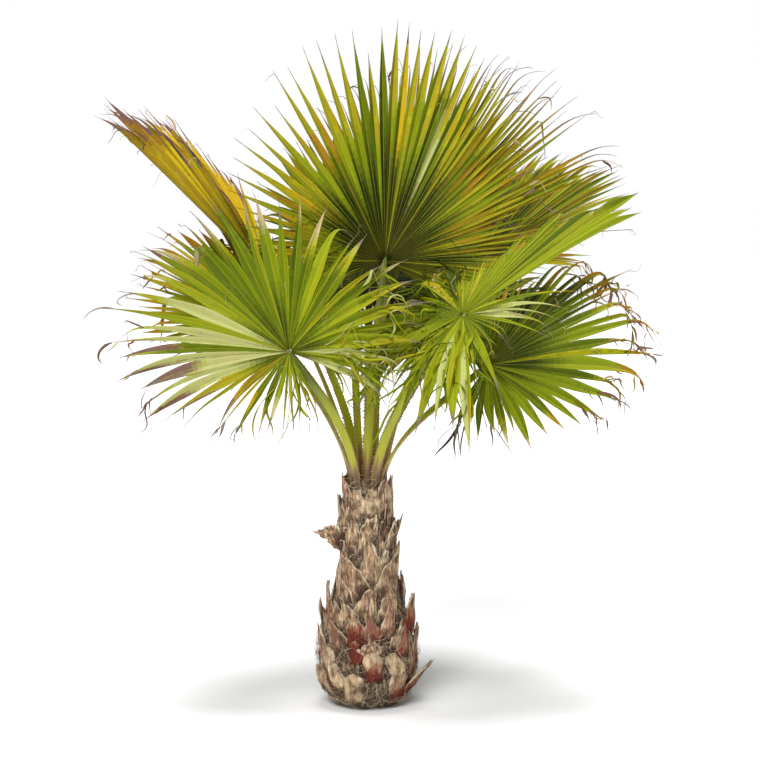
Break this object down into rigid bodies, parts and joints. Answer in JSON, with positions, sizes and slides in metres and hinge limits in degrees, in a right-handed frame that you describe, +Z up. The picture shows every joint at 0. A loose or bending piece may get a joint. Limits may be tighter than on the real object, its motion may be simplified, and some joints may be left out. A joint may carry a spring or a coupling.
{
  "type": "mexican fan palm",
  "caption": "Young fan palm rooted in the ground: a swollen trunk clad in cut leaf bases, long toothed stalks, and broad pleated fan leaves that split into drooping segments.",
  "frame": {"origin": "centre of the flat cut under the trunk, at ground level", "axes": "+Z up along the trunk, -Y towards the plant's front, +X to the right as seen from the front"},
  "size_m": [1.6415, 1.2481, 2.0229],
  "materials": {
    "bark": "matt, fibrous bark with papery tan leaf bases that are dark red where they meet",
    "stalk_green": "smooth yellow-green stalk, purple-brown towards its foot, toothed along both margins",
    "blade_green": "thin satin leaf, mid to olive green with yellow segments and brown, papery tips",
    "blade_gold": "thin satin leaf turned yellow-gold, with purple-brown tips"
  },
  "bodies": {
    "root": {"trunk": "bark", "stalk_front_left": "stalk_green", "stalk_front_right": "stalk_green", "stalk_top": "stalk_green", "stalk_right": "stalk_green", "stalk_top_right": "stalk_green", "stalk_top_left": "stalk_green", "stalk_upper_right": "stalk_green", "stalk_left": "stalk_green", "stalk_back_left": "stalk_green", "stalk_back": "stalk_green", "stalk_back_right": "stalk_green", "stalk_top_back": "stalk_green", "blade_front_left": "blade_green", "blade_front_right": "blade_green", "blade_top": "blade_green", "blade_right": "blade_green", "blade_top_right": "blade_green", "blade_top_left": "blade_gold", "blade_upper_right": "blade_green", "blade_left": "blade_green", "blade_back_left": "blade_green", "blade_back": "blade_green", "blade_back_right": "blade_green", "blade_top_back": "blade_green"}
  },
  "joints": []
}
